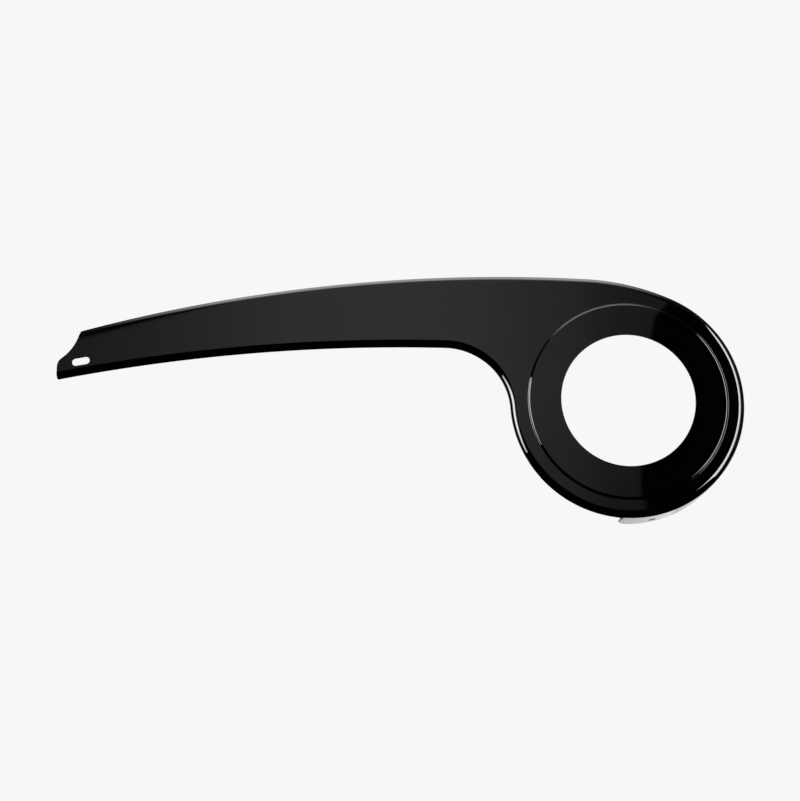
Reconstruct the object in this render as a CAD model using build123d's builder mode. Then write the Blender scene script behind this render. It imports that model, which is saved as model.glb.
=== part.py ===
from build123d import *

import os
from math import asin, atan2, cos, degrees, radians, sin, sqrt, tan

# Bicycle chain guard: one shell pressed from a single steel sheet.
# Frame: origin at the centre of the crank hole, on the outer face of the raised ring.
# +X forward, +Z up, outer side towards -Y. All sizes in millimetres and degrees.

# Sheet, and the rim that is bent back from the face
sheet = 0.8
rim_inside_radius = 4.5
flange_depth = 27.5
flange_draft = 5.0
lip_straight = 0.5

# Chainring cover: the round front part with its raised ring
disc_radius = 87.8
crank_hole_diameter = 100.0
raised_ring_border = 13.6
raised_ring_height = 1.5
raised_ring_slope_run = 1.2
raised_ring_inside_radius = 0.5

# Arm over the chain, between two long arcs
arm_top_radius = 1190.0
arm_top_crest_back = 94.5
arm_top_crest_rise = 9.9
arm_bottom_radius = 1337.0
arm_bottom_crest_back = 170.3
arm_bottom_crest_height = 42.0

# Curves that lead the arm into the disc
shoulder_radius = 180.0
neck_radius = 50.0

# Rear tab, and the slot that fixes it to the frame
rear_reach = 428.3
rear_edge_height = 9.1
rear_corner_radius = 8.0
scallop_radius = 33.7
scallop_setback = 17.1
slot_length = 13.2
slot_width = 5.5
slot_inset = 17.9
slot_edge_distance = 9.4

# Ends of the deep flange, one under the disc and one above the rear tab
flange_front_end = 7.5
flange_rear_setback = 1.5
flange_corner_radius = 9.0
flange_relief_radius = 3.0

# Screw holes through the flange, at angles round the crank
rim_hole_diameter = 5.2
rim_hole_setback = 19.0
rim_hole_upper_angle = 85.0
rim_hole_lower_angle = -78.4

# Extra stock that the trimming cuts away
cut_allowance = 20.0

# Worked-out sizes
rim_bend_radius = rim_inside_radius + sheet
lean = tan(radians(flange_draft))
raised_ring_radius = disc_radius - raised_ring_border + raised_ring_slope_run / 2
raised_ring_slope = atan2(raised_ring_height, raised_ring_slope_run)
face_plane = Plane.XZ.offset(-raised_ring_height)
bend_end_plane = face_plane.offset(-rim_bend_radius)
face_y = raised_ring_height
lip_y = face_y + rim_bend_radius + lip_straight
back_y = face_y + flange_depth
cutter_reach = rear_reach + 2 * cut_allowance
cutter_back_y = back_y + 2 * cut_allowance


def circles_meet(first, first_radius, second, second_radius):
    """Where two circles meet, on the left of the way from the first centre to the second."""
    way = second - first
    reach = (first_radius**2 - second_radius**2 + way.length**2) / (2 * way.length)
    rise = sqrt(first_radius**2 - reach**2)
    along = way.normalized()
    return first + along * reach + Vector(-along.Y, along.X) * rise


def bearing(start, end):
    """Direction from one point of the face to another, in degrees."""
    return degrees(atan2(end.Y - start.Y, end.X - start.X))


def bearing_behind(center, radius, back):
    """Bearing of the point of a crowned arc that lies this far behind the crank."""
    return 90 + degrees(asin((back + center.X) / radius))


def point_from_crank(center, radius, angle):
    """Point where a ray from the crank at this angle leaves a circle round it."""
    ray = Vector(cos(radians(angle)), sin(radians(angle)))
    along = ray.dot(center)
    return ray * (along + sqrt(along**2 + radius**2 - center.length**2))


# Centres of the outline's arcs, each arc tangent to the next
disc_center = Vector(0, 0)
arm_top_center = Vector(-arm_top_crest_back, disc_radius + arm_top_crest_rise - arm_top_radius)
arm_bottom_center = Vector(-arm_bottom_crest_back, arm_bottom_crest_height - arm_bottom_radius)
shoulder_center = circles_meet(
    arm_top_center, arm_top_radius - shoulder_radius, disc_center, shoulder_radius - disc_radius
)
neck_center = circles_meet(
    arm_bottom_center, arm_bottom_radius - neck_radius, disc_center, neck_radius + disc_radius
)

# Bearings at which one arc hands over to the next
bottom_end = bearing(arm_bottom_center, neck_center)
neck_end = bearing(neck_center, disc_center)
disc_start = neck_end - 180
disc_end = bearing(shoulder_center, disc_center)
shoulder_end = bearing(arm_top_center, shoulder_center)

# Rear end of the face: a straight edge, a round corner and a scallop, tangent to each other
rear_edge_bearing = bearing_behind(arm_bottom_center, arm_bottom_radius, rear_reach)
rear_edge_foot = arm_bottom_center.Y + arm_bottom_radius * sin(radians(rear_edge_bearing))
rear_corner_center = Vector(rear_corner_radius - rear_reach, rear_edge_foot + rear_edge_height)
scallop_back = rear_corner_radius + scallop_setback
scallop_rise = sqrt((scallop_radius + rear_corner_radius) ** 2 - scallop_back**2)
scallop_center = rear_corner_center + Vector(-scallop_back, scallop_rise)
scallop_start = bearing(scallop_center, rear_corner_center)
flange_rear_end = -scallop_center.X - scallop_radius - flange_rear_setback

with BuildPart() as rear_trim:
    with BuildSketch(face_plane):
        with BuildLine():
            corner = CenterArc(rear_corner_center, rear_corner_radius, 180, scallop_start)
            scallop = CenterArc(scallop_center, scallop_radius, scallop_start, -scallop_start)
            Polyline(
                scallop @ 1,
                ((scallop @ 1).X, cutter_reach),
                (-cutter_reach, cutter_reach),
                (-cutter_reach, -cutter_reach),
                (-rear_reach, -cutter_reach),
                corner @ 0,
            )
        make_face()
    extrude(amount=cutter_back_y, both=True)


def flange_trim(flange_end):
    """Block behind the flange's back edge and behind its end, which lies this far back from the crank."""
    with BuildPart() as trim:
        with BuildSketch(Plane.XY):
            with BuildLine():
                FilletPolyline(
                    (-cutter_reach, lip_y),
                    (-flange_end, lip_y),
                    (-flange_end, back_y),
                    (cutter_reach, back_y),
                    radius=[flange_relief_radius, flange_corner_radius],
                )
                Polyline(
                    (cutter_reach, back_y),
                    (cutter_reach, cutter_back_y),
                    (-cutter_reach, cutter_back_y),
                    (-cutter_reach, lip_y),
                )
            make_face()
        extrude(amount=cutter_reach, both=True)
    return trim.part


# The flange is deep above the middle line of the arm, and below it only round the disc
with BuildPart() as below_middle:
    with BuildSketch(face_plane):
        with Locations((arm_top_center + arm_bottom_center) / 2):
            Circle((arm_top_radius + arm_bottom_radius) / 2)
    extrude(amount=-cutter_back_y)
with BuildPart() as upper_trim:
    add(flange_trim(flange_rear_end))
    add(below_middle.part, mode=Mode.SUBTRACT)
with BuildPart() as lower_trim:
    add(flange_trim(flange_front_end))
    add(below_middle.part, mode=Mode.INTERSECT)


def pressing(inset):
    """Solid form of the pressing, with its surface this far inside the outer one.

    It is longer than the guard at its rear end and deeper at its back, the more so the further inside.
    """
    wall = inset / cos(radians(flange_draft))
    stock_back = rear_reach + cut_allowance + inset
    rear_bottom = bearing_behind(arm_bottom_center, arm_bottom_radius + wall, stock_back)
    rear_top = bearing_behind(arm_top_center, arm_top_radius - wall, stock_back)
    form_plane = face_plane.offset(-inset)
    with BuildPart() as form:
        # Walls along the outline, leaning outwards from where the bend ends
        with BuildSketch(form_plane):
            with BuildLine():
                bottom = CenterArc(
                    arm_bottom_center, arm_bottom_radius + wall, rear_bottom, bottom_end - rear_bottom
                )
                CenterArc(neck_center, neck_radius + wall, bottom_end, neck_end - bottom_end)
                CenterArc(disc_center, disc_radius - wall, disc_start, disc_end - disc_start)
                CenterArc(shoulder_center, shoulder_radius - wall, disc_end, shoulder_end - disc_end)
                top = CenterArc(
                    arm_top_center, arm_top_radius - wall, shoulder_end, rear_top - shoulder_end
                )
                Line(top @ 1, bottom @ 0)
            make_face()
        extrude(amount=-flange_depth - cut_allowance)
        draft(form.faces().filter_by(GeomType.CYLINDER), bend_end_plane, flange_draft)
        rim_edges = form.faces().sort_by(Axis.Y)[0].edges().filter_by(GeomType.CIRCLE)
        fillet(rim_edges, rim_bend_radius - inset)

        # Raised ring, with a sloping step and a bend at its top and its foot
        with BuildSketch(form_plane):
            Circle(raised_ring_radius - inset * tan(raised_ring_slope / 2))
        extrude(amount=raised_ring_height, taper=90 - degrees(raised_ring_slope))
        step = form.faces().filter_by(GeomType.CONE).sort_by(Axis.Y)[0]
        step_edges = step.edges().filter_by(GeomType.CIRCLE).sort_by(Axis.Y)
        fillet(step_edges[-1], raised_ring_inside_radius + inset)
        step_top = form.faces().sort_by(Axis.Y)[0].edges()
        fillet(step_top, raised_ring_inside_radius + sheet - inset)
    return form.part


with BuildPart() as guard:
    # Sheet left between the outer form and the inner one
    add(pressing(0))
    add(pressing(sheet), mode=Mode.SUBTRACT)

    # Trimmed edges
    for cutter in (upper_trim, lower_trim, rear_trim):
        add(cutter.part, mode=Mode.SUBTRACT)

    # Crank hole
    with Locations(Plane.XZ):
        Hole(crank_hole_diameter / 2)

    # Slot in the rear tab, parallel to the arm's lower edge
    slot_path_radius = arm_bottom_radius + slot_edge_distance
    slot_bearing = bearing_behind(arm_bottom_center, slot_path_radius, rear_reach - slot_inset)
    with BuildSketch(face_plane):
        with Locations(arm_bottom_center):
            with PolarLocations(slot_path_radius, 1, start_angle=slot_bearing):
                SlotOverall(slot_length, slot_width, rotation=90)
    extrude(amount=-2 * sheet, mode=Mode.SUBTRACT)

    # Screw holes, punched square to the leaning flange
    rim_hole_spread = (rim_hole_setback - rim_bend_radius) * lean
    for center, radius, angle in (
        (shoulder_center, shoulder_radius, rim_hole_upper_angle),
        (disc_center, disc_radius, rim_hole_lower_angle),
    ):
        spot = point_from_crank(center, radius + rim_hole_spread, angle)
        out = (spot - center).normalized()
        hole_plane = Plane((spot.X, face_y + rim_hole_setback, spot.Y), z_dir=(out.X, -lean, out.Y))
        with Locations(hole_plane):
            Hole(rim_hole_diameter / 2, depth=2 * sheet)

os.makedirs("parts", exist_ok=True)
guard.part.label = "chain_guard"
export_step(guard.part, "parts/chain_guard.step")
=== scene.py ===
# %% [markdown]
# # Bicycle chain guard
#
# A chain guard is one steel sheet, pressed in a tool and stoved in gloss black. It has a flat face
# with a raised ring round the crank hole, a rim that is bent back all round, and a deep flange over
# the chain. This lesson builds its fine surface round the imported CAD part, paints it, and lights it
# as in a studio. Black gloss shows almost nothing of itself: what the eye reads as its shape is the
# reflection of the lights and of the dark room, so the last steps matter as much as the mesh.

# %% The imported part
from math import asin, atan2, cos, degrees, hypot, pi, radians, sin, sqrt, tan

import bmesh
import bpy
import numpy as np
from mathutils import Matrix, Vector
from mathutils.geometry import delaunay_2d_cdt


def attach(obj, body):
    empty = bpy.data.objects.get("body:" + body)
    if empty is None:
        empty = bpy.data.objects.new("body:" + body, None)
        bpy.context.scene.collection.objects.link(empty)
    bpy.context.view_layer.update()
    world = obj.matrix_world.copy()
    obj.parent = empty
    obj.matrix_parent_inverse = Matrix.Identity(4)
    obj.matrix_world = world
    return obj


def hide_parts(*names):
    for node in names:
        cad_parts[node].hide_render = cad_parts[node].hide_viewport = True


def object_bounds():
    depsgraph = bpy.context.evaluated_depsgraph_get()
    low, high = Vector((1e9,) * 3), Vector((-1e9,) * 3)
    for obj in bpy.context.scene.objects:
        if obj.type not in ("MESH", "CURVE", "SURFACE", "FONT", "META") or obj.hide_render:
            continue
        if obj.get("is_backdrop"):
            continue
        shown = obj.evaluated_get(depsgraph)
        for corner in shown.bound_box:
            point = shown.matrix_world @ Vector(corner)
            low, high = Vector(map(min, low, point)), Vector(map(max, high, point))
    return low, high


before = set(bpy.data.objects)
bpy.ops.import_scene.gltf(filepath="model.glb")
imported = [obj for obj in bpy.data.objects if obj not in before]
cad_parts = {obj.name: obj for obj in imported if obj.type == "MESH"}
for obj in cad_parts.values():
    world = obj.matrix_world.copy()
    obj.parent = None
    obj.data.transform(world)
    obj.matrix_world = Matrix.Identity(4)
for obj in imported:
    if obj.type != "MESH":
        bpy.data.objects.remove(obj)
cad_low, cad_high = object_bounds()
MM = 0.001
print("CAD box in mm", [round(x / MM, 2) for x in (*cad_low, *cad_high)])

# %% [markdown]
# ## Sizes
#
# The piece made here stands for the CAD solid, so it has the same sizes, in millimetres. The solid
# itself could be painted, but its faces are too coarse for gloss and its cut edges are square. The
# face lies in the XZ plane and looks to -Y, the crank is at the origin, and the arm runs back to -X.

# %% Sizes of the sheet and its rim
# Depths run back along Y from the face of the raised ring, and the bend is measured outside
SHEET = 0.8
FACE_Y = 1.5
RIM_BEND = 5.3
LEAN = radians(5.0)
LIP_STRAIGHT = 0.5
FLANGE_DEPTH = 27.5
LIP_Y = FACE_Y + RIM_BEND + LIP_STRAIGHT
BACK_Y = FACE_Y + FLANGE_DEPTH
print("face at", FACE_Y, "mm, edge of the lip at", round(LIP_Y, 2), "and of the flange at", BACK_Y)

# %% Sizes of the outline
# The crests are the highest points of the arm's two long arcs, some way behind the crank
DISC_RADIUS = 87.8
TOP_RADIUS = 1190.0
TOP_CREST_BACK = 94.5
TOP_CREST_RISE = 9.9
BOTTOM_RADIUS = 1337.0
BOTTOM_CREST_BACK = 170.3
BOTTOM_CREST_HEIGHT = 42.0
disc_centre = np.array([0.0, 0.0])
top_centre = np.array([-TOP_CREST_BACK, DISC_RADIUS + TOP_CREST_RISE - TOP_RADIUS])
bottom_centre = np.array([-BOTTOM_CREST_BACK, BOTTOM_CREST_HEIGHT - BOTTOM_RADIUS])
print("centres of the arm's top", top_centre.round(2), "and bottom", bottom_centre.round(2))

# %% Curves that lead the arm into the disc
SHOULDER_RADIUS = 180.0
NECK_RADIUS = 50.0


def circles_meet(first, first_radius, second, second_radius):
    """Where two circles meet, on the left of the way from the first centre to the second."""
    way = second - first
    length = hypot(*way)
    along = way / length
    reach = (first_radius**2 - second_radius**2 + length**2) / (2 * length)
    rise = sqrt(first_radius**2 - reach**2)
    return first + along * reach + np.array([-along[1], along[0]]) * rise


shoulder_centre = circles_meet(
    top_centre, TOP_RADIUS - SHOULDER_RADIUS, disc_centre, SHOULDER_RADIUS - DISC_RADIUS
)
neck_centre = circles_meet(
    bottom_centre, BOTTOM_RADIUS - NECK_RADIUS, disc_centre, NECK_RADIUS + DISC_RADIUS
)
print("shoulder centre", shoulder_centre.round(2), "neck centre", neck_centre.round(2))

# %% [markdown]
# ## The outline as one road
#
# The rim follows five arcs, each tangent to the next: along the top, over the shoulder, round the
# disc, through the neck and back along the bottom. Here they are laid end to end as one road, and a
# point of the rim is told by how far along the road it is and how far outside it. A sheet that is
# swept along a road gets even rows of faces, which a gloss surface needs: any uneven face would show
# as a dent.

# %% Arcs of the road
REAR_REACH = 428.3
STOCK = 20.0


def bearing(start, end):
    """Direction from one point of the face to another, in radians."""
    return atan2(end[1] - start[1], end[0] - start[0])


def bearing_behind(centre, radius, back):
    """Bearing of the point of a crowned arc that lies this far behind the crank."""
    return pi / 2 + asin((back + centre[0]) / radius)


top_start = bearing_behind(top_centre, TOP_RADIUS, REAR_REACH + STOCK)
top_end = bearing(top_centre, shoulder_centre)
shoulder_end = bearing(shoulder_centre, disc_centre)
neck_start = bearing(neck_centre, disc_centre)
bottom_start = bearing(bottom_centre, neck_centre)
bottom_end = bearing_behind(bottom_centre, BOTTOM_RADIUS, REAR_REACH + STOCK)
# The last number is 1 where the sheet ends away from the arc's centre, and -1 where towards it
arcs = [
    (top_centre, TOP_RADIUS, top_start, top_end, 1),
    (shoulder_centre, SHOULDER_RADIUS, top_end, shoulder_end, 1),
    (disc_centre, DISC_RADIUS, shoulder_end, neck_start - pi, 1),
    (neck_centre, NECK_RADIUS, neck_start, bottom_start, -1),
    (bottom_centre, BOTTOM_RADIUS, bottom_start, bottom_end, -1),
]
TOP, SHOULDER, DISC, NECK, BOTTOM = range(len(arcs))
print("arcs turn through", [round(degrees(stop - start), 1) for _, _, start, stop, _ in arcs])

# %% Places along the road
arc_centre, arc_radius, arc_start, arc_stop, arc_side = (np.array(part) for part in zip(*arcs))
arc_turn = np.sign(arc_stop - arc_start)
arc_length = arc_radius * abs(arc_stop - arc_start)
road_at = np.concatenate([[0.0], np.cumsum(arc_length)])


def on_road(along, outside):
    """Points of the rim in plan, and the directions that point off the sheet there."""
    arc = np.clip(np.searchsorted(road_at, along, side="right") - 1, 0, len(arcs) - 1)
    angle = arc_start[arc] + arc_turn[arc] * (along - road_at[arc]) / arc_radius[arc]
    ray = np.stack([np.cos(angle), np.sin(angle)], axis=-1)
    reach = arc_radius[arc] + arc_side[arc] * outside
    return arc_centre[arc] + reach[..., None] * ray, arc_side[arc][..., None] * ray


def along_road(arc, angle):
    """How far along the road a bearing of one arc lies."""
    return road_at[arc] + arc_turn[arc] * (angle - arc_start[arc]) * arc_radius[arc]


print("length of the road", round(road_at[-1], 1), "mm")

# %% [markdown]
# ## The rim's section
#
# Across the road the rim is a quarter bend and then a straight wall that leans out by five degrees,
# so that the pressing comes off its tool. A curve with a bevel could draw it too, but then the exact
# way that each point faces would be lost. The section is measured along the sheet from the edge of
# the flat face.

# %% Section of the rim
bend_angle = pi / 2 - LEAN
bend_length = RIM_BEND * bend_angle
bend_outside = -RIM_BEND * tan(LEAN) - RIM_BEND * tan(bend_angle / 2)
bend_end_y = FACE_Y + RIM_BEND * (1 - cos(bend_angle))
bend_end_outside = bend_outside + RIM_BEND * sin(bend_angle)


def rim_section(across):
    """How far outside the road and how deep the sheet is at these places, and which way it faces."""
    angle = np.minimum(across / RIM_BEND, bend_angle)
    wall = np.maximum(across - bend_length, 0)
    outside = bend_outside + RIM_BEND * np.sin(angle) + wall * sin(LEAN)
    depth = FACE_Y + RIM_BEND * (1 - np.cos(angle)) + wall * cos(LEAN)
    return outside, depth, np.sin(angle), -np.cos(angle)


def across_at(depth):
    """Place on the straight wall at this depth."""
    return bend_length + (depth - bend_end_y) / cos(LEAN)


def outside_at(depth):
    """How far outside the road the straight wall is at this depth."""
    return bend_end_outside + (depth - bend_end_y) * tan(LEAN)


lip_across = across_at(LIP_Y)
back_across = across_at(BACK_Y)
print("section to the lip", round(lip_across, 2), "and to the back edge", round(back_across, 2))

# %% [markdown]
# ## The rim as a flat blank
#
# A sheet-metal part starts as a flat blank. The rim is drawn the same way: along the road one way and
# across the section the other, with its trimmed ends, its long lip and its two holes. The blank is
# then filled with small triangles and bent into place. A finished rim could be cut with Boolean
# modifiers instead, but they leave slivers, and drawn flat every cut is a plain curve.

# %% Rear cut of the rim
REAR_EDGE = 9.1
REAR_CORNER = 8.0
SCALLOP_RADIUS = 33.7
SCALLOP_SETBACK = 17.1
rear_edge_bearing = bearing_behind(bottom_centre, BOTTOM_RADIUS, REAR_REACH)
rear_edge_foot = bottom_centre[1] + BOTTOM_RADIUS * sin(rear_edge_bearing)
rear_corner_centre = np.array([REAR_CORNER - REAR_REACH, rear_edge_foot + REAR_EDGE])
scallop_back = REAR_CORNER + SCALLOP_SETBACK
scallop_rise = sqrt((SCALLOP_RADIUS + REAR_CORNER) ** 2 - scallop_back**2)
scallop_centre = rear_corner_centre + np.array([-scallop_back, scallop_rise])


def top_cut(outside):
    """Where the scallop of the rear tab cuts the top of the rim."""
    point = circles_meet(scallop_centre, SCALLOP_RADIUS, top_centre, TOP_RADIUS + outside)
    return along_road(TOP, bearing(top_centre, point))


def bottom_cut(outside):
    """Where the straight rear edge cuts the bottom of the rim."""
    angle = bearing_behind(bottom_centre, BOTTOM_RADIUS - outside, REAR_REACH)
    return along_road(BOTTOM, angle)


print("corner centre", rear_corner_centre.round(2), "scallop centre", scallop_centre.round(2))

# %% Ends of the deep flange
FLANGE_CORNER = 9.0
FLANGE_RELIEF = 3.0
END_TURN_POINTS = 13
END_STRAIGHT_POINTS = 8


def flange_end(end):
    """Points of a flange end from the lip to the back edge: how far behind the crank, how deep."""
    turn = np.linspace(0, pi / 2, END_TURN_POINTS)
    relief = [
        (end + FLANGE_RELIEF * (1 - sin(a)), LIP_Y + FLANGE_RELIEF * (1 - cos(a))) for a in turn
    ]
    corner = [
        (end - FLANGE_CORNER * (1 - cos(a)), BACK_Y - FLANGE_CORNER * (1 - sin(a))) for a in turn
    ]
    depths = np.linspace(LIP_Y + FLANGE_RELIEF, BACK_Y - FLANGE_CORNER, END_STRAIGHT_POINTS)
    return np.array(relief + [(end, depth) for depth in depths[1:-1]] + corner)


def rear_end_along(back, depth):
    """Place along the road of a point of the rear end, or of the scallop where that comes first."""
    flange = along_road(TOP, bearing_behind(top_centre, TOP_RADIUS + outside_at(depth), back))
    return max(flange, top_cut(outside_at(depth)))


def front_end_along(back, depth):
    """Place along the road of a point of the front end, under the disc."""
    return along_road(DISC, -bearing_behind(disc_centre, DISC_RADIUS + outside_at(depth), back))


FLANGE_FRONT_END = 7.5
FLANGE_REAR_SETBACK = 1.5
flange_rear_end = -scallop_centre[0] - SCALLOP_RADIUS - FLANGE_REAR_SETBACK
rear_end = np.array([(rear_end_along(b, y), across_at(y)) for b, y in flange_end(flange_rear_end)])
front_end = np.array([(front_end_along(b, y), across_at(y)) for b, y in flange_end(FLANGE_FRONT_END)])
print("deep flange from", rear_end[-1].round(1), "to", front_end[-1].round(1))

# %% Rows and columns of the rim's blank
BEND_ROWS = 14
WALL_ROWS = 10
COLUMN_STEP = {TOP: 3.0, SHOULDER: 2.5, DISC: 2.0, NECK: 1.5, BOTTOM: 3.0}
bend_rows = np.linspace(0, bend_length, BEND_ROWS + 1)
wall_rows = np.linspace(lip_across, back_across, WALL_ROWS + 1)
columns = np.concatenate(
    [
        np.linspace(road_at[arc], road_at[arc + 1], round(arc_length[arc] / step), endpoint=False)
        for arc, step in COLUMN_STEP.items()
    ]
)
print("columns", len(columns), "rows in the bend", BEND_ROWS, "and in the wall", WALL_ROWS)

# %% Border of the rim's blank
COLUMN_ROOM = 0.8


def blank_row(across, low, high, room=COLUMN_ROOM):
    """Points of one row of the blank: its columns between two ends, with some room at both."""
    inside = (columns > low + room) & (columns < high - room)
    return [(along, across) for along in columns[inside]]


bend_outsides, _, _, _ = rim_section(bend_rows)
top_edge = np.array([(top_cut(o), a) for o, a in zip(bend_outsides, bend_rows)])
bottom_edge = np.array([(bottom_cut(o), a) for o, a in zip(bend_outsides, bend_rows)])
lip_end = np.array([bottom_cut(outside_at(LIP_Y)), lip_across])
inner_border = [top_edge[0], *blank_row(0.0, top_edge[0, 0], bottom_edge[0, 0])]
lip_border = blank_row(lip_across, front_end[0, 0], lip_end[0])
back_border = blank_row(back_across, rear_end[-1, 0], front_end[-1, 0])
rim_border = [*inner_border, *bottom_edge, lip_end, *lip_border[::-1], *front_end]
rim_border += [*back_border[::-1], *rear_end[::-1], *top_edge[:0:-1]]
print("border points of the rim", len(rim_border))

# %% [markdown]
# ## Fixing holes in the rim
#
# The guard is held through two holes in its deep flange, punched square to the leaning wall. On the
# flat blank they are circles, drawn a little narrow along the road, because the wall is longer there
# than the road that it is measured by.

# %% Holes of the rim's blank
RIM_HOLE_RADIUS = 2.6
RIM_HOLE_SETBACK = 19.0
RIM_HOLE_ANGLES = {SHOULDER: radians(85.0), DISC: radians(-78.4)}
HOLE_POINTS = 40
rim_hole_depth = FACE_Y + RIM_HOLE_SETBACK
rim_hole_outside = outside_at(rim_hole_depth)


def heading(angle):
    """Direction in plan at this bearing, with a length of one."""
    return np.array([cos(angle), sin(angle)])


def ray_leaves(centre, radius, angle):
    """Point where a ray from the crank leaves a circle round it."""
    way = heading(angle)
    along = way @ centre
    return way * (along + sqrt(along**2 + radius**2 - centre @ centre))


hole_turn = np.arange(HOLE_POINTS) * 2 * pi / HOLE_POINTS
rim_holes = []
hole_middles = []
for arc, angle in RIM_HOLE_ANGLES.items():
    radius = arc_radius[arc] + rim_hole_outside
    spot = ray_leaves(arc_centre[arc], radius, angle)
    along = along_road(arc, bearing(arc_centre[arc], spot))
    middle = np.array([along, across_at(rim_hole_depth)])
    narrowed = np.cos(hole_turn) * (arc_radius[arc] / radius)
    rim_holes.append(middle + RIM_HOLE_RADIUS * np.stack([narrowed, np.sin(hole_turn)], axis=-1))
    hole_middles.append(middle)
print("fixing holes on the blank", [m.round(1).tolist() for m in hole_middles])

# %% [markdown]
# ## Filling a blank with triangles
#
# A border with holes and loose points inside it is what a constrained Delaunay triangulation takes.
# It gives triangles as even as the points allow and keeps every border line. Blender's own fill for
# faces would draw long thin ones from border to border. The same helper fills the flat face later.

# %% Helper that fills a blank
WHOLE_HULL = 0
SAME_POINT = 1e-6


def inside_loop(points, loop):
    """Which points lie inside a closed loop, by how often a line to the right crosses it."""
    loop = np.asarray(loop)
    after = np.roll(loop, -1, axis=0)
    x, y = points[:, 0, None], points[:, 1, None]
    spans = (loop[:, 1] > y) != (after[:, 1] > y)
    rise = np.where(after[:, 1] == loop[:, 1], 1.0, after[:, 1] - loop[:, 1])
    meets = loop[:, 0] + (y - loop[:, 1]) * (after[:, 0] - loop[:, 0]) / rise
    return (spans & (x < meets)).sum(axis=1) % 2 == 1


def fill_blank(border, holes, loose):
    """Triangles inside a border, outside its holes and through its loose points."""
    points = []
    lines = []
    for loop in (border, *holes):
        first = len(points)
        points += [Vector(p) for p in loop]
        lines += [(first + i, first + (i + 1) % len(loop)) for i in range(len(loop))]
    points += [Vector(p) for p in loose]
    filled, _, faces, _, _, _ = delaunay_2d_cdt(points, lines, [], WHOLE_HULL, SAME_POINT)
    filled = np.array(filled)
    faces = np.array(faces)
    middles = filled[faces].mean(axis=1)
    kept = inside_loop(middles, border)
    for hole in holes:
        kept &= ~inside_loop(middles, hole)
    return filled, faces[kept]


_, hole_faces = fill_blank(rim_holes[0], [], [])
print("the round of a fixing hole would take", len(hole_faces), "triangles")

# %% Loose points of the rim, and its triangles
HOLE_ROOM = 1.3
rim_loose = []
for across in bend_rows[1:]:
    outside = float(rim_section(across)[0])
    rim_loose += blank_row(across, top_cut(outside), bottom_cut(outside))
for across in wall_rows[:-1]:
    low = np.interp(across, rear_end[:, 1], rear_end[:, 0])
    high = np.interp(across, front_end[:, 1], front_end[:, 0])
    rim_loose += blank_row(across, low, high, 2 * COLUMN_ROOM)
rim_loose = np.array(rim_loose)
for middle in hole_middles:
    rim_loose = rim_loose[np.hypot(*(rim_loose - middle).T) > RIM_HOLE_RADIUS + HOLE_ROOM]
rim_blank, rim_faces = fill_blank(rim_border, rim_holes, rim_loose)
print("rim", len(rim_blank), "points", len(rim_faces), "triangles")


# %% Bending the rim's blank into place
def bend_rim(blank):
    """Points and facings of the rim in space, from the places on its flat blank."""
    outside, depth, out_share, front_share = rim_section(blank[:, 1])
    plan, off = on_road(blank[:, 0], outside)
    points = np.stack([plan[:, 0], depth, plan[:, 1]], axis=-1)
    facing = np.stack([off[:, 0] * out_share, front_share, off[:, 1] * out_share], axis=-1)
    return points, facing


rim_points, rim_facing = bend_rim(rim_blank)
print("rim box", rim_points.min(axis=0).round(2), rim_points.max(axis=0).round(2))

# %% [markdown]
# ## The raised ring
#
# Round the crank hole the sheet is pressed out by a millimetre and a half, over a short sloping step.
# The step is what stiffens the disc, and its two small bends catch the light as thin bright lines. It
# is round, so it is turned like a bowl: one section, carried round the crank. Blender's Spin does the
# same, but here each point also gets the exact way that it faces.

# %% Section of the raised ring
CRANK_HOLE_RADIUS = 50.0
RING_BORDER = 13.6
RING_SLOPE_RUN = 1.2
RING_INSIDE_RADIUS = 0.5
FOOT_ROWS = 8
TOP_ROWS = 12
FLAT_ROWS = 8
ring_slope = atan2(FACE_Y, RING_SLOPE_RUN)
ring_foot = DISC_RADIUS - RING_BORDER + RING_SLOPE_RUN / 2
foot_bend = RING_INSIDE_RADIUS
top_bend = RING_INSIDE_RADIUS + SHEET
foot_start = ring_foot + foot_bend * tan(ring_slope / 2)
top_stop = ring_foot - RING_SLOPE_RUN - top_bend * tan(ring_slope / 2)
ring_rows = []
for a in np.linspace(0, ring_slope, FOOT_ROWS):
    ring_rows.append((foot_start - foot_bend * sin(a), FACE_Y - foot_bend * (1 - cos(a)), a))
for a in np.linspace(ring_slope, 0, TOP_ROWS):
    ring_rows.append((top_stop + top_bend * sin(a), top_bend * (1 - cos(a)), a))
for radius in np.linspace(top_stop, CRANK_HOLE_RADIUS, FLAT_ROWS)[1:]:
    ring_rows.append((radius, 0.0, 0.0))
print("step from radius", round(foot_start, 2), "to", round(top_stop, 2), "in", len(ring_rows), "rows")

# %% Turning the ring's section round the crank
RING_TURNS = 360
ring_turn = np.arange(RING_TURNS) * 2 * pi / RING_TURNS
ring_ray = np.stack([np.cos(ring_turn), np.zeros(RING_TURNS), np.sin(ring_turn)], axis=-1)
to_back = np.array([0.0, 1.0, 0.0])
ring_points = np.concatenate([radius * ring_ray + depth * to_back for radius, depth, _ in ring_rows])
ring_facing = np.concatenate([sin(a) * ring_ray - cos(a) * to_back for _, _, a in ring_rows])
ring_faces = []
for row in range(len(ring_rows) - 1):
    outer, inner = row * RING_TURNS, (row + 1) * RING_TURNS
    for i in range(RING_TURNS):
        j = (i + 1) % RING_TURNS
        ring_faces.append((outer + i, outer + j, inner + j, inner + i))
print("ring", len(ring_points), "points", len(ring_faces), "faces")

# %% [markdown]
# ## The flat face
#
# The face fills the room between the rim, the rear edge and the ring. Its rear end is a tab with a
# round corner, a scallop above it and a long slot, so that the guard can be shifted a little along
# the bicycle's frame. One many-sided face would do for a plane, but an export cuts it into thin
# slivers, so it is filled with even triangles like the rim.

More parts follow.
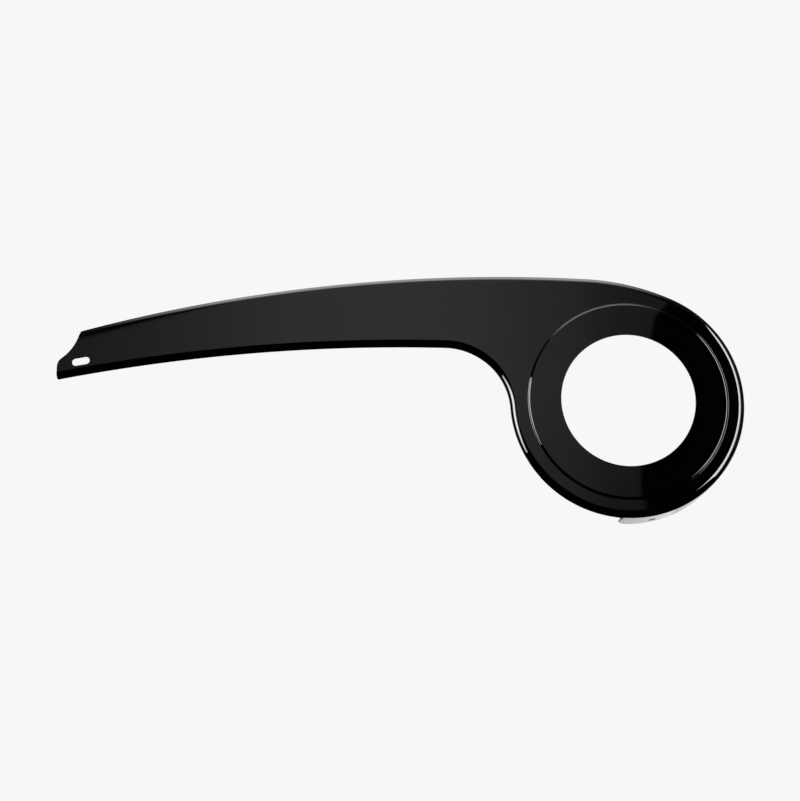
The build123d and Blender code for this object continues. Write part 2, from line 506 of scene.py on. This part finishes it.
# %% Border of the face
STRAIGHT_POINTS = 8
CORNER_POINTS = 24
SCALLOP_POINTS = 40
face_along = np.array([*(along for along, _ in inner_border), bottom_edge[0, 0]])
face_rim, _ = on_road(face_along, np.full(len(face_along), bend_outside))
scallop_low = bearing(scallop_centre, rear_corner_centre)
scallop_high = bearing(scallop_centre, face_rim[0])
straight_heights = np.linspace(face_rim[-1][1], rear_corner_centre[1], STRAIGHT_POINTS)[1:-1]
corner_turn = np.linspace(pi, pi + scallop_low, CORNER_POINTS)
scallop_turn = np.linspace(scallop_low, scallop_high, SCALLOP_POINTS)[1:-1]
face_border = [*face_rim]
face_border += [(-REAR_REACH, z) for z in straight_heights]
face_border += [rear_corner_centre + REAR_CORNER * heading(a) for a in corner_turn]
face_border += [scallop_centre + SCALLOP_RADIUS * heading(a) for a in scallop_turn]
print("border points of the face", len(face_border))

# %% Slot and ring opening of the face
SLOT_LENGTH = 13.2
SLOT_WIDTH = 5.5
SLOT_INSET = 17.9
SLOT_EDGE = 9.4
SLOT_END_POINTS = 20
slot_path = BOTTOM_RADIUS + SLOT_EDGE
slot_bearing = bearing_behind(bottom_centre, slot_path, REAR_REACH - SLOT_INSET)
slot_middle = bottom_centre + slot_path * heading(slot_bearing)
slot_way = np.array([sin(slot_bearing), -cos(slot_bearing)])
slot_across = np.array([-slot_way[1], slot_way[0]])
slot_half = (SLOT_LENGTH - SLOT_WIDTH) / 2
slot_loop = []
for end in (1, -1):
    for a in np.linspace(-pi / 2, pi / 2, SLOT_END_POINTS):
        turned = cos(a) * slot_way + sin(a) * slot_across
        slot_loop.append(slot_middle + end * (slot_half * slot_way + SLOT_WIDTH / 2 * turned))
ring_loop = foot_start * ring_ray[:, [0, 2]]
print("slot middle", slot_middle.round(2), "tilt", round(degrees(slot_bearing) - 90, 2))

# %% Loose points of the face, and its triangles
FACE_STEP = 6.0
FACE_ROOM = 2.5
FACE_SPAN_X = (-430, 90)
FACE_SPAN_Z = (-90, 100)
row_step = FACE_STEP * sqrt(3) / 2
grid_x, grid_z = np.meshgrid(np.arange(*FACE_SPAN_X, FACE_STEP), np.arange(*FACE_SPAN_Z, row_step))
grid_x[1::2] += FACE_STEP / 2
face_grid = np.stack([grid_x.ravel(), grid_z.ravel()], axis=-1)
face_lines = np.concatenate([face_border, slot_loop, ring_loop])
gaps = np.hypot(*(face_grid[:, None] - face_lines[None]).transpose(2, 0, 1)).min(axis=1)
face_loose = face_grid[gaps > FACE_ROOM]
face_blank, face_faces = fill_blank(face_border, [slot_loop, ring_loop], face_loose)
face_points = np.insert(face_blank, 1, FACE_Y, axis=1)
face_facing = np.tile(-to_back, (len(face_points), 1))
print("face", len(face_points), "points", len(face_faces), "triangles")

# %% [markdown]
# ## One skin from three pieces
#
# Rim, face and ring share the points along their borders. They are welded into one open skin, the
# outer surface of the sheet, and every face is turned to look outwards. Blender could average the
# facings from the faces, but that bends the light near a border. So each point keeps the direction
# that the true surface faces there, worked out above, and the gloss runs over the bends unbroken.

# %% Welding the skin
WELD = 0.004
skin = bmesh.new()
facing_layer = skin.verts.layers.float_vector.new("facing")
for points, facings, faces in (
    (rim_points, rim_facing, rim_faces),
    (face_points, face_facing, face_faces),
    (ring_points, ring_facing, ring_faces),
):
    made = [skin.verts.new(p) for p in points]
    for vert, facing in zip(made, facings):
        vert[facing_layer] = facing
    for corners in faces:
        a, b, c = (points[i] for i in corners[:3])
        looks_out = np.dot(np.cross(b - a, c - a), facings[list(corners)].sum(axis=0)) > 0
        skin.faces.new([made[i] for i in (corners if looks_out else corners[::-1])])
bmesh.ops.remove_doubles(skin, verts=skin.verts, dist=WELD)
loose_verts = [v for v in skin.verts if not v.link_faces]
bmesh.ops.delete(skin, geom=loose_verts, context="VERTS")
skin.verts.index_update()
print("skin", len(skin.verts), "points", len(skin.faces), "faces")

# %% Borders of the skin
skin_points = np.array([v.co for v in skin.verts], float)
skin_facing = np.array([v[facing_layer] for v in skin.verts], float)
outer_faces = [[v.index for v in f.verts] for f in skin.faces]
next_point = {}
for edge in skin.edges:
    if edge.is_boundary:
        corner = edge.link_loops[0]
        next_point[corner.vert.index] = corner.link_loop_next.vert.index
skin.free()
border_loops = []
unseen = set(next_point)
while unseen:
    loop = [min(unseen)]
    while next_point[loop[-1]] != loop[0]:
        loop.append(next_point[loop[-1]])
    unseen -= set(loop)
    border_loops.append(loop)
print("borders of the skin, in points", [len(loop) for loop in border_loops])

# %% [markdown]
# ## Thickness and the sheared edge
#
# The inner surface lies one sheet thickness behind the outer one. Along every cut the two are joined
# by a small round edge: shears leave it sharp, and stoving paint draws back from a sharp corner and
# rounds it. A Solidify modifier would leave a plain square edge, which looks like card, because no
# light runs along it.

# %% Round edges along the borders
EDGE_ROUND = 0.22
EDGE_STEPS = 4


def unit(rows):
    """The same directions with a length of one."""
    return rows / np.linalg.norm(rows, axis=-1, keepdims=True)


edge_rows = []
for loop in border_loops:
    points = skin_points[loop]
    facing = unit(skin_facing[loop])
    ahead = unit(np.roll(points, -1, axis=0) - points)
    off_after = unit(np.cross(ahead, facing))
    off_before = np.roll(unit(np.cross(ahead, np.roll(facing, -1, axis=0))), 1, axis=0)
    mitre = (off_before + off_after) / (1 + (off_before * off_after).sum(axis=-1, keepdims=True))
    rows = []
    for a in np.linspace(0, pi / 2, EDGE_STEPS + 1):
        out = EDGE_ROUND * (sin(a) - 1)
        back = EDGE_ROUND * (1 - cos(a))
        rows.append((points + out * mitre - back * facing, sin(a) * mitre + cos(a) * facing))
    for a in np.linspace(pi / 2, 0, EDGE_STEPS + 1):
        out = EDGE_ROUND * (sin(a) - 1)
        back = SHEET - EDGE_ROUND * (1 - cos(a))
        rows.append((points + out * mitre - back * facing, sin(a) * mitre - cos(a) * facing))
    skin_points[loop] = rows[0][0]
    edge_rows.append(rows)
print("rows round each edge", len(edge_rows[0]))

# %% Sheet from outer skin, inner skin and edges
skin_facing = unit(skin_facing)
skin_count = len(skin_points)
sheet_points = [skin_points, skin_points - SHEET * skin_facing]
sheet_facing = [skin_facing, -skin_facing]
inner_faces = [[i + skin_count for i in corners[::-1]] for corners in outer_faces]
edge_faces = []
point_count = 2 * skin_count
for loop, rows in zip(border_loops, edge_rows):
    row_points = [loop]
    for points, facing in rows[1:-1]:
        sheet_points.append(points)
        sheet_facing.append(unit(facing))
        row_points.append(range(point_count, point_count + len(loop)))
        point_count += len(loop)
    row_points.append([i + skin_count for i in loop])
    for near, far in zip(row_points, row_points[1:]):
        for i in range(len(loop)):
            j = (i + 1) % len(loop)
            edge_faces.append([near[j], near[i], far[i], far[j]])
sheet_points = np.clip(np.concatenate(sheet_points) * MM, cad_low, cad_high)
sheet_facing = np.concatenate(sheet_facing)
sheet_faces = outer_faces + inner_faces + edge_faces
print("sheet", len(sheet_points), "points", len(sheet_faces), "faces")

# %% Mesh of the guard
OUTSIDE, INSIDE, EDGE = range(3)
shell_mesh = bpy.data.meshes.new("guard_shell")
shell_mesh.from_pydata(sheet_points.tolist(), [], sheet_faces)
finish_of_face = [OUTSIDE] * len(outer_faces) + [INSIDE] * len(inner_faces)
finish_of_face += [EDGE] * len(edge_faces)
shell_mesh.polygons.foreach_set("material_index", finish_of_face)
shell_mesh.polygons.foreach_set("use_smooth", [True] * len(finish_of_face))
shell_mesh.normals_split_custom_set_from_vertices(sheet_facing.tolist())
shell_mesh.update()
guard_shell = bpy.data.objects.new("guard_shell", shell_mesh)
bpy.context.scene.collection.objects.link(guard_shell)
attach(guard_shell, "root")
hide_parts("chain_guard")
triangles = sum(len(p.vertices) - 2 for p in shell_mesh.polygons)
print("guard shell", triangles, "triangles")

# %% [markdown]
# ## Paint
#
# The guard is dipped or sprayed in black stoving enamel and baked. It levels to a deep gloss with a
# very faint orange peel, a swell a few millimetres long. Inside, where the spray arrives at a slant
# and nobody polishes, the film is thinner and duller. On the sheared edges the film is thin and a
# little greyer. One even black would do from afar, but close by it looks like glass, so the shade,
# the roughness and the swell each vary a little, at a size in millimetres.


# %% Helpers for colours and nodes
def linear(hex_colour):
    """An sRGB hex colour as linear values with full opacity."""
    parts = [int(hex_colour[i : i + 2], 16) / 255 for i in (1, 3, 5)]
    return [p / 12.92 if p <= 0.04045 else ((p + 0.055) / 1.055) ** 2.4 for p in parts] + [1.0]


def add_node(tree, kind, settings=None, inputs=None):
    """A new node with its settings, and with values or links on its inputs."""
    node = tree.nodes.new(kind)
    for name, value in (settings or {}).items():
        setattr(node, name, value)
    for name, value in (inputs or {}).items():
        if isinstance(value, bpy.types.NodeSocket):
            tree.links.new(value, node.inputs[name])
        else:
            node.inputs[name].default_value = value
    return node


print("a middle grey of #808080 is", round(linear("#808080")[0], 3), "in linear light")

# %% Black stoving enamel
FILM_MM = 45
FILM_DETAIL = 3.0
HAZE_MM = 9
HAZE_DETAIL = 4.0
PEEL_DETAIL = 1.0
ENAMEL_IOR = 1.5


def stoving_enamel(name, thin, thick, roughness, peel_mm, peel_slope):
    """Enamel between two shades and two roughnesses, with an orange peel of this length and slope."""
    paint = bpy.data.materials.new(name)
    paint.use_nodes = True
    tree = paint.node_tree
    tree.nodes.clear()
    place = add_node(tree, "ShaderNodeTexCoord").outputs["Object"]
    film, haze, peel = (
        add_node(
            tree,
            "ShaderNodeTexNoise",
            inputs={"Vector": place, "Scale": 1 / (size_mm * MM), "Detail": detail},
        ).outputs["Fac"]
        for size_mm, detail in ((FILM_MM, FILM_DETAIL), (HAZE_MM, HAZE_DETAIL), (peel_mm, PEEL_DETAIL))
    )
    shade = add_node(
        tree,
        "ShaderNodeMix",
        {"data_type": "RGBA"},
        {"Factor": film, "A": linear(thin), "B": linear(thick)},
    )
    gloss = add_node(
        tree,
        "ShaderNodeMapRange",
        inputs={"Value": haze, "To Min": roughness[0], "To Max": roughness[1]},
    )
    swell = add_node(
        tree,
        "ShaderNodeBump",
        inputs={"Height": peel, "Distance": peel_slope * peel_mm * MM, "Strength": 1.0},
    )
    enamel = add_node(
        tree,
        "ShaderNodeBsdfPrincipled",
        inputs={
            "Base Color": shade.outputs["Result"],
            "Roughness": gloss.outputs["Result"],
            "IOR": ENAMEL_IOR,
            "Normal": swell.outputs["Normal"],
        },
    )
    add_node(tree, "ShaderNodeOutputMaterial", inputs={"Surface": enamel.outputs["BSDF"]})
    return paint


# Outside the enamel has levelled in the oven: almost a mirror, so the eye sees the studio in it
gloss_enamel = stoving_enamel(
    "black_enamel_gloss", "#020202", "#010101", (0.025, 0.04), peel_mm=2.6, peel_slope=0.0005
)
# Inside it is thin overspray: lights spread to a soft sheen, and the black looks a little dusty
inside_enamel = stoving_enamel(
    "black_enamel_inside", "#0D0D0D", "#080808", (0.2, 0.34), peel_mm=1.4, peel_slope=0.006
)
# On the sheared edge it has drawn back to a thin film: a satin line, just greyer than the faces
edge_enamel = stoving_enamel(
    "black_enamel_edge", "#121212", "#0A0A0A", (0.12, 0.22), peel_mm=1.0, peel_slope=0.004
)
for paint in (gloss_enamel, inside_enamel, edge_enamel):
    shell_mesh.materials.append(paint)
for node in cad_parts.values():
    node.data.materials.clear()
    node.data.materials.append(gloss_enamel)
print("finishes", [m.name for m in shell_mesh.materials])

# %% [markdown]
# ## Camera
#
# The photograph looks at the face from straight ahead and a little below, so the camera stands low
# and looks up by twelve degrees. It could be lined up by eye, but a long lens from afar and a short
# one from close by look alike at first. The perspective of the round holes tells which it was.

# %% Camera at the viewing angle
IMAGE_WIDTH = 800
FOCAL_PIXELS = 1215
SENSOR_MM = 36.0
CAMERA_PLACE = (-0.1704, -0.8855, -0.1905)
LOOK_UP = 12.1
camera_data = bpy.data.cameras.new("camera")
camera_data.sensor_fit = "HORIZONTAL"
camera_data.sensor_width = SENSOR_MM
camera_data.lens = FOCAL_PIXELS * SENSOR_MM / IMAGE_WIDTH
camera = bpy.data.objects.new("camera", camera_data)
camera.location = CAMERA_PLACE
camera.rotation_euler = (radians(90 + LOOK_UP), 0, 0)
bpy.context.scene.collection.objects.link(camera)
bpy.context.scene.camera = camera
bpy.context.scene.view_settings.view_transform = "Standard"
print("lens", round(camera_data.lens, 2), "mm")

# %% [markdown]
# ## Pale room and plain light
#
# The background is an even pale grey. A lit backdrop could give it, but it would light the guard as
# well. So the world shows the grey to the camera, to reflections and through clear things, and lights
# the rest softly. One broad lamp above adds a shadow on the paper floor under the guard, which hangs
# in its own frame.

# %% Pale world
PAPER = "#F7F7F7"
WHITE = "#FFFFFF"
SOFT_LIGHT = 0.55
world = bpy.data.worlds.new("pale_room")
world.use_nodes = True
tree = world.node_tree
tree.nodes.clear()
rays = add_node(tree, "ShaderNodeLightPath").outputs
shown = rays["Is Camera Ray"]
for kind_of_ray in ("Is Glossy Ray", "Is Transmission Ray"):
    either = add_node(
        tree, "ShaderNodeMath", {"operation": "MAXIMUM"}, {0: shown, 1: rays[kind_of_ray]}
    )
    shown = either.outputs[0]
soft_light, backdrop = (
    add_node(tree, "ShaderNodeBackground", inputs={"Color": linear(colour), "Strength": strength})
    for colour, strength in ((WHITE, SOFT_LIGHT), (PAPER, 1.0))
)
room = add_node(
    tree,
    "ShaderNodeMixShader",
    inputs={0: shown, 1: soft_light.outputs[0], 2: backdrop.outputs[0]},
)
add_node(tree, "ShaderNodeOutputWorld", inputs={"Surface": room.outputs[0]})
bpy.context.scene.world = world
print("world of", len(tree.nodes), "nodes")

# %% Paper floor
# Matt paper: it has no gloss, so the eye sees only its pale colour and the soft shadow on it
FLOOR_Z = -0.45
FLOOR_NEAR = (-2.2, -2.2)
FLOOR_FAR = (2.0, 1.4)
PAPER_ROUGHNESS = 0.9


def plain_sheet(name, corners):
    """A flat sheet of the set with these corners, which isn't part of the object."""
    mesh = bpy.data.meshes.new(name)
    mesh.from_pydata(corners, [], [range(len(corners))])
    sheet = bpy.data.objects.new(name, mesh)
    bpy.context.scene.collection.objects.link(sheet)
    sheet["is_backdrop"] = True
    return sheet


def level(low, high, height):
    """Corners of a level sheet between two corners in plan."""
    return [(*low, height), (high[0], low[1], height), (*high, height), (low[0], high[1], height)]


floor = plain_sheet("floor", level(FLOOR_NEAR, FLOOR_FAR, FLOOR_Z))
floor_paper = bpy.data.materials.new("floor_paper")
floor_paper.use_nodes = True
floor_shader = floor_paper.node_tree.nodes["Principled BSDF"]
floor_shader.inputs["Base Color"].default_value = linear(PAPER)
floor_shader.inputs["Roughness"].default_value = PAPER_ROUGHNESS
floor_shader.inputs["Specular IOR Level"].default_value = 0.0
floor.data.materials.append(floor_paper)
floor.visible_glossy = False
print("floor at", FLOOR_Z, "m")

# %% Broad lamp
LAMP_SIZE = 1.6
LAMP_WATTS = 26.0
LAMP_PLACE = (-0.5, -0.7, 1.7)
LAMP_AIM = Vector((-0.17, 0.0, 0.0))
lamp_data = bpy.data.lights.new("broad_lamp", "AREA")
lamp_data.size = LAMP_SIZE
lamp_data.energy = LAMP_WATTS
lamp = bpy.data.objects.new("broad_lamp", lamp_data)
lamp.location = LAMP_PLACE
lamp.rotation_euler = (LAMP_AIM - lamp.location).to_track_quat("-Z", "Y").to_euler()
lamp.visible_glossy = False
bpy.context.scene.collection.objects.link(lamp)
print("lamp", round((LAMP_AIM - lamp.location).length, 2), "m from the guard")

# %% [markdown]
# ## Cards for the reflections
#
# Gloss black is photographed with cards: pale ones that it mirrors as light, and black cloth that it
# mirrors as black. Lamps could be mirrored too, but they would also light the floor, and their edges
# are hard. So each card is a glowing sheet that only reflections see, and its light may fall off
# along its length and its height, as it does on a cloth with a lamp behind it.


# %% Helper for cards
def card(name, corners, radiance, falls=None):
    """A sheet that only reflections see; its light falls off along axes, by shares at places."""
    sheet = plain_sheet(name, corners)
    sheet.visible_camera = False
    sheet.visible_diffuse = False
    sheet.visible_shadow = False
    sheet.visible_transmission = False
    glow = bpy.data.materials.new(name)
    glow.use_nodes = True
    tree = glow.node_tree
    tree.nodes.clear()
    light = add_node(tree, "ShaderNodeEmission", inputs={"Strength": radiance})
    add_node(tree, "ShaderNodeOutputMaterial", inputs={"Surface": light.outputs[0]})
    sheet.data.materials.append(glow)
    if not falls:
        return
    place = add_node(tree, "ShaderNodeTexCoord").outputs["Generated"]
    split = add_node(tree, "ShaderNodeSeparateXYZ", inputs={0: place})
    ramps = []
    for axis, shares in falls.items():
        reach = [corner["XYZ".index(axis)] for corner in corners]
        positions = [(spot - min(reach)) / (max(reach) - min(reach)) for spot, _ in shares]
        ramp = add_node(tree, "ShaderNodeValToRGB", inputs={"Fac": split.outputs[axis]})
        stops = ramp.color_ramp.elements
        stops.remove(stops[0])
        stops[0].position = positions[0]
        for position in positions[1:]:
            stops.new(position)
        for stop, (_, share) in zip(stops, shares):
            stop.color = (share, share, share, 1)
        ramps.append(ramp.outputs["Color"])
    light_share = ramps[0]
    for other in ramps[1:]:
        both = add_node(
            tree, "ShaderNodeVectorMath", {"operation": "MULTIPLY"}, {0: light_share, 1: other}
        )
        light_share = both.outputs[0]
    tree.links.new(light_share, light.inputs["Color"])


# %% [markdown]
# ## Black cloth and lit paper
#
# Cloth hangs in front, at both sides, at the right of the back and overhead, and lies on the floor.
# Where a little light falls on it, it is a very dark grey. On the left it goes down past the floor,
# so that the low bends there stay black. Behind the guard on the right the floor is lit paper: the
# lower flange mirrors it as the pale strip under the disc.

# %% Upright cloth
SIDE = 2.4
FRONT = -2.6
BACK = 3.8
CLOTH_LIFT = 0.01
LOW = FLOOR_Z + CLOTH_LIFT
DEEP = -1.0
HIGH = 2.0
BACK_CLOTH_END = 1.6
BLACK_CLOTH = 0.0
DIM_CLOTH = 0.07


def upright(start, end, start_heights, end_heights):
    """Corners of an upright sheet over a line in plan, with its low and high edge at both ends."""
    return [
        (*start, start_heights[0]),
        (*end, end_heights[0]),
        (*end, end_heights[1]),
        (*start, start_heights[1]),
    ]


for name, start, end, foot, radiance in (
    ("cloth_front", (-SIDE, FRONT), (SIDE, FRONT), DEEP, BLACK_CLOTH),
    ("cloth_left", (-SIDE, FRONT), (-SIDE, BACK), DEEP, BLACK_CLOTH),
    ("cloth_right", (SIDE, FRONT), (SIDE, BACK), LOW, DIM_CLOTH),
    ("cloth_back", (SIDE, BACK), (BACK_CLOTH_END, BACK), LOW, DIM_CLOTH),
):
    card(name, upright(start, end, (foot, HIGH), (foot, HIGH)), radiance)
    print(name, "from", start, "to", end)

# %% Level cloth and paper
DEEP_END = -0.6
PAPER_LEFT = -0.1
PAPER_FRONT = 1.1
LIT_PAPER = 1.4
for name, near, far, height, radiance in (
    ("cloth_top", (-SIDE, FRONT), (SIDE, BACK), HIGH, DIM_CLOTH),
    ("cloth_deep", (-SIDE, FRONT), (DEEP_END, BACK), DEEP, BLACK_CLOTH),
    ("cloth_floor", (DEEP_END, FRONT), (SIDE, PAPER_FRONT), LOW, BLACK_CLOTH),
    ("cloth_floor_back", (DEEP_END, PAPER_FRONT), (PAPER_LEFT, BACK), LOW, BLACK_CLOTH),
    ("lit_paper", (PAPER_LEFT, PAPER_FRONT), (SIDE, BACK), LOW, LIT_PAPER),
):
    card(name, level(near, far, height), radiance)
    print(name, "from", near, "to", far)

# %% [markdown]
# ## Bright boxes
#
# A bend mirrors half the room, squeezed into a thin line. Two bright boxes, one on each side, draw
# the white lines along the rim, the neck and the raised ring. Their light fades towards their ends,
# so the lines taper off instead of stopping short. The left box is cut at a slant at its near lower
# corner, so that from the side most of the arm still mirrors black.

# %% Right box
RIGHT_LIGHT = 18.0
right_near, right_near_heights = (0.58, -1.52), (-0.07, 0.5)
right_far, right_far_heights = (0.96, -0.62), (-0.45, 0.97)
right_fade = [(0.58, 0.8), (0.6, 1.0), (0.79, 1.0), (0.85, 0.75), (0.9, 0.4), (0.96, 0.0)]
right_corners = upright(right_near, right_far, right_near_heights, right_far_heights)
card("right_box", right_corners, RIGHT_LIGHT, {"X": right_fade})
print("right box from", right_near, "to", right_far)

# %% Left box
LEFT_LIGHT = 21.5
LEFT_X = -2.3
left_outline = [(-2.5, 0.2), (-1.9, -0.27), (-1.35, -0.9), (0.1, -0.9), (0.1, 1.2), (-2.5, 1.2)]
left_fade = [(-2.5, 0.03), (-2.3, 0.13), (-2.1, 0.4), (-1.55, 0.88), (-1.3, 1.0)]
left_fade += [(-0.75, 1.0), (-0.3, 0.32), (-0.15, 0.12), (0.1, 0.0)]
left_rise = [(-0.9, 0.52), (-0.45, 0.78), (0.0, 1.0)]
left_corners = [(LEFT_X, y, z) for y, z in left_outline]
card("left_box", left_corners, LEFT_LIGHT, {"Y": left_fade, "Z": left_rise})
print("left box of", len(left_corners), "corners at x", LEFT_X)

# %% [markdown]
# ## Front card and ceiling
#
# A flat face mirrors one small part of the room. Here that is a broad dim card behind the camera: it
# greys the face, most in the middle of the arm, and its right edge is the line across the disc where
# the grey stops. The ceiling starts over the card and draws the grey line along the top bend, which
# is brightest in the middle and fades towards both ends.

# %% Front card
CARD_LIGHT = 1.0
CARD_Y = -2.2
CEILING_Z = 1.5
card_foot = [(-1.35, 0.05), (0.458, 0.05)]
card_right = [(0.458, 0.203), (0.446, 0.22), (0.446, 0.27), (0.492, 0.66), (0.502, 0.7), (0.54, 0.74)]
card_top = [(0.62, CEILING_Z), (-0.8, CEILING_Z)]
card_left = [(-0.72, 0.716), (-1.35, 0.547)]
card_fade = [(-1.1, 0.24), (-0.87, 0.34), (-0.66, 0.47), (-0.46, 0.65), (-0.2, 0.7)]
card_fade += [(0.0, 0.67), (0.2, 0.49), (0.27, 0.45), (0.38, 0.28), (0.48, 0.22)]
card_rise = [(0.08, 0.55), (0.27, 0.8), (0.5, 1.0)]
card_corners = [(x, CARD_Y, z) for x, z in card_foot + card_right + card_top + card_left]
card("front_card", card_corners, CARD_LIGHT, {"X": card_fade, "Z": card_rise})
print("front card of", len(card_corners), "corners at y", CARD_Y)

# %% Ceiling
CEILING_LEFT = -1.15
CEILING_RIGHT = 0.9
CEILING_BACK = 2.6
ceiling_fade = [(-1.15, 0.0), (-1.05, 0.04), (-0.8, 0.58), (-0.68, 0.9), (-0.6, 1.0)]
ceiling_fade += [(0.25, 1.0), (0.4, 0.82), (0.65, 0.26), (0.78, 0.06), (0.9, 0.0)]
ceiling_light = [(-2.2, 0.7), (-1.0, 0.8), (-0.6, 4.4), (-0.4, 5.4), (-0.2, 5.0)]
ceiling_light += [(0.1, 3.6), (0.6, 2.2), (1.2, 1.4), (2.6, 0.7)]
ceiling_peak = max(light for _, light in ceiling_light)
ceiling_depth = [(y, light / ceiling_peak) for y, light in ceiling_light]
ceiling_corners = level((CEILING_LEFT, CARD_Y), (CEILING_RIGHT, CEILING_BACK), CEILING_Z)
card("ceiling", ceiling_corners, ceiling_peak, {"X": ceiling_fade, "Y": ceiling_depth})

low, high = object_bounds()
print("visual box in mm", [round(x / MM, 2) for x in (*low, *high)])
